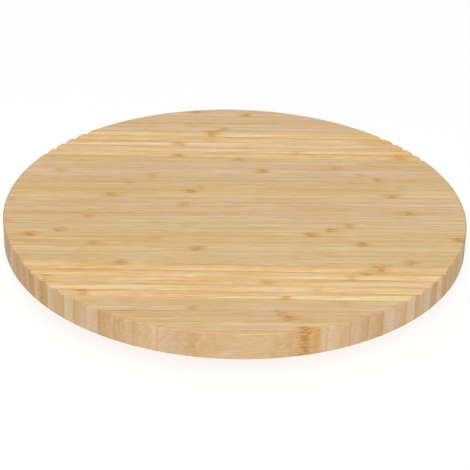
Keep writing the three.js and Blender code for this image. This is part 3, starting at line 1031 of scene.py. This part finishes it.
def cut_cross(screw, face):
    """Cuts the driver's cross into a head that faces down, narrower towards its bottom."""
    for angle in (0, math.pi / 2):
        place = (0, 0, face)
        bar = start(bpy.ops.mesh.primitive_cube_add, "cross_bar", size=1, location=place)
        bpy.ops.transform.resize(value=(CROSS_SPAN, CROSS_WIDTH, 2 * CROSS_DEPTH))
        settle(bar)
        edit(bar)
        pick(bar, "VERT", lambda vert: vert.co.z > face)
        bpy.ops.transform.resize(value=(0.45, 0.7, 1), center_override=(0, 0, face + CROSS_DEPTH))
        bpy.ops.object.mode_set(mode="OBJECT")
        turn(bar, angle)
        cut_away(screw, bar, "MANIFOLD")


def make_screw(name, head, shank_start, length):
    """A screw that stands on its head at height 0, from its head's outline."""
    core = head + [(CORE_RADIUS, shank_start), (CORE_RADIUS, length - SCREW_POINT)]
    core += [(CORE_TIP, length), (0, length)]
    screw = lathe(name, core, SCREW_STEPS)
    thread = make_thread(shank_start + 0.2 * MM, length)
    modify(screw, "BOOLEAN", operation="UNION", solver="MANIFOLD", object=thread)
    bpy.data.objects.remove(thread)
    cut_cross(screw, 0)
    clean(screw)
    smooth(screw, 40)
    return screw


# %% Screws: placing them
DRIVEN_ANGLES = (0.3, 1.1, 0.75, 1.45)


def place_screws(model, names, prefix, body, upside_down):
    """Sets a copy of a screw at each node, turned as it was driven."""
    for name, driven in zip(names, DRIVEN_ANGLES):
        low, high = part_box(name)
        circle, angle = circle_of(name)
        screw = copy_of(model, f"{prefix}_{name[-1]}")
        turn(screw, driven)
        if upside_down:
            turn(screw, math.pi, "X")
        face = high.z if upside_down else low.z
        move(screw, (circle * math.cos(angle), circle * math.sin(angle), face))
        dress(screw, zinc, body, [name])
    bpy.data.objects.remove(model)


def flat_head():
    """The outline of a countersunk head that faces down."""
    cone_end = SCREW_HEAD_LAND + SCREW_HEAD_RADIUS - SCREW_RADIUS
    rim = 0.08 * MM
    outline = [(0, 0), (SCREW_HEAD_RADIUS - rim, 0), (SCREW_HEAD_RADIUS, rim)]
    return outline + [(SCREW_HEAD_RADIUS, SCREW_HEAD_LAND), (SCREW_RADIUS, cone_end)], cone_end + 0.5 * MM


def pan_head(height):
    """The outline of a pan head: nearly flat on top, with a well rounded rim."""
    round_over = 0.9 * MM
    shoulder = SCREW_HEAD_RADIUS - round_over
    outline = [(0, 0), (shoulder * 0.75, 0.03 * MM)]
    outline += arc((shoulder, round_over), round_over, -80, 0, 6)
    outline += [(SCREW_HEAD_RADIUS, height - 0.1 * MM), (SCREW_HEAD_RADIUS - 0.1 * MM, height)]
    return outline + [(SCREW_RADIUS, height)], height + 0.5 * MM


def length_of(name):
    low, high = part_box(name)
    return high.z - low.z


flat, flat_shank = flat_head()
PAN_HEIGHT = 1.7 * MM
pan, pan_shank = pan_head(PAN_HEIGHT)
board_screw = make_screw("board_fixing", flat, flat_shank, length_of(BOARD_SCREWS[0]))
place_screws(board_screw, BOARD_SCREWS, "board_fixing", "turntable", False)
base_screw = make_screw("base_fixing", flat, flat_shank, length_of(BASE_SCREWS[0]))
place_screws(base_screw, BASE_SCREWS, "base_fixing", "base", True)
foot_screw = make_screw("foot_fixing", pan, pan_shank, length_of(FOOT_SCREWS[0]))
place_screws(foot_screw, FOOT_SCREWS, "foot_fixing", "base", False)

# %% [markdown]
# ## Feet and washers
#
# Four rubber feet stand under the base. Each is a squat turned cup: a deep recess hides the screw's head,
# a slot above it grips a steel washer so that the rubber can't be pulled over the head, and a thin roof
# lies against the wood. Its bottom has a shallow ring groove, which lets it grip a smooth table.

# %% Feet and washers
FOOT_STEPS = 48
FEET = [f"foot_{i}" for i in range(1, 5)]
WASHERS = [f"foot_washer_{i}" for i in range(1, 5)]
DRIVER_CLEARANCE = 1.7 * MM
FOOT_FLARE = 1.0 * MM
GRIP_DEPTH = 0.4 * MM
FOOT_CORNER = 0.3 * MM
WASHER_CORNER = 0.15 * MM


def foot_outline():
    low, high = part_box(FEET[0])
    washer_low, washer_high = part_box(WASHERS[0])
    top_radius = (high.x - low.x) / 2
    bottom_radius = top_radius - FOOT_FLARE
    recess = SCREW_HEAD_RADIUS + DRIVER_CLEARANCE
    slot = (washer_high.x - washer_low.x) / 2 + CONTACT_GAP
    slot_low, slot_high = washer_low.z - CONTACT_GAP, washer_high.z + CONTACT_GAP
    hole = SCREW_RADIUS + CONTACT_GAP
    grip = (recess + bottom_radius) / 2
    outline = [(recess, 0), (grip - GRIP_DEPTH, 0), (grip, GRIP_DEPTH), (grip + GRIP_DEPTH, 0)]
    outline += [(bottom_radius, 0), (top_radius, high.z), (hole, high.z), (hole, slot_high)]
    return outline + [(slot, slot_high), (slot, slot_low), (recess, slot_low), (recess, 0)]


def washer_outline():
    low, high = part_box(WASHERS[0])
    hole, rim = SCREW_RADIUS + CONTACT_GAP, (high.x - low.x) / 2
    return [(hole, low.z), (rim, low.z), (rim, high.z), (hole, high.z), (hole, low.z)]


def place_round(model, names, prefix, material):
    for name in names:
        circle, angle = circle_of(name)
        piece = copy_of(model, f"{prefix}_{name[-1]}")
        move(piece, (circle * math.cos(angle), circle * math.sin(angle), 0))
        dress(piece, material, "base", [name])
    bpy.data.objects.remove(model)


foot = lathe("rubber_foot", foot_outline(), FOOT_STEPS, FOOT_CORNER)
smooth(foot, 40)
place_round(foot, FEET, "rubber_foot", rubber)
washer = lathe("flat_washer", washer_outline(), FOOT_STEPS, WASHER_CORNER)
smooth(washer)
place_round(washer, WASHERS, "flat_washer", zinc)

# %% [markdown]
# ## Floor and light
#
# A plain pale floor and large soft lights, as in a small product studio. The main light is in front and
# above, halfway between level and overhead, which lights the top and the front rim about equally and
# picks out the sides of the ridges that face the front. Weak lights overhead, at the left, low at the
# right and behind keep the other sides from going dull. Each light's strength is given as the share of
# full white that it would give a sheet of paper facing it, and its power follows from its distance.

# %% Studio
FLOOR_COLOUR = (0.24, 0.24, 0.24, 1)
FLOOR_GLOW = 0.79
LIGHT_DISTANCE = 4.0
LIGHT_SPREAD = 0.5


def add_floor():
    floor = start(bpy.ops.mesh.primitive_plane_add, "floor", size=14, location=(0, 0, -0.1 * MM))
    material, tree, shader = new_material("floor_paper")
    shader.inputs["Base Color"].default_value = FLOOR_COLOUR
    shader.inputs["Roughness"].default_value = 0.9
    shader.inputs["Specular IOR Level"].default_value = 0.1
    shader.inputs["Emission Color"].default_value = (1, 1, 1, 1)
    shader.inputs["Emission Strength"].default_value = FLOOR_GLOW
    floor.data.materials.append(material)
    floor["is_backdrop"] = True
    return floor


def add_light(name, rise, swing, share):
    """A soft square light that faces the board, from a height angle and a direction round it."""
    rise, swing = math.radians(rise), math.radians(swing)
    way = Vector((math.sin(swing) * math.cos(rise), -math.cos(swing) * math.cos(rise), math.sin(rise)))
    data = bpy.data.lights.new(name, "AREA")
    data.shape = "SQUARE"
    data.size = LIGHT_DISTANCE * LIGHT_SPREAD
    data.energy = share * math.pi**2 * LIGHT_DISTANCE**2
    light = bpy.data.objects.new(name, data)
    light.location = Vector((0, 0, BOARD_TOP)) + LIGHT_DISTANCE * way
    light.rotation_euler = way.to_track_quat("Z", "Y").to_euler()
    bpy.context.scene.collection.objects.link(light)
    return light


def add_world(strength, horizon_strength):
    """An even pale room, brighter just round the horizon, where it meets the floor."""
    world = bpy.data.worlds.new("studio")
    world.use_nodes = True
    tree = world.node_tree
    way = node(tree, "ShaderNodeTexCoord").outputs["Generated"]
    height = node(tree, "ShaderNodeSeparateXYZ", {0: way}).outputs[2]
    glow = step(tree, height, 0.32, 0.14)
    total = maths(tree, "MULTIPLY_ADD", glow, horizon_strength - strength, strength)
    tree.nodes["Background"].inputs["Color"].default_value = (1, 1, 1, 1)
    tree.links.new(total, tree.nodes["Background"].inputs["Strength"])
    bpy.context.scene.world = world


add_floor()
add_light("front_light", 45, 0, 0.71)
add_light("left_light", 70, -80, 0.18)
add_light("top_light", 90, 0, 0.09)
add_light("right_light", 20, 80, 0.05)
add_light("back_light", 20, 180, 0.1)
add_world(0.08, 0.83)
bpy.context.scene.view_settings.view_transform = "Standard"

# %% Sizes
low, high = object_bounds()
print("visual box", [round(1000 * (b - a), 2) for a, b in zip(low, high)], "mm")
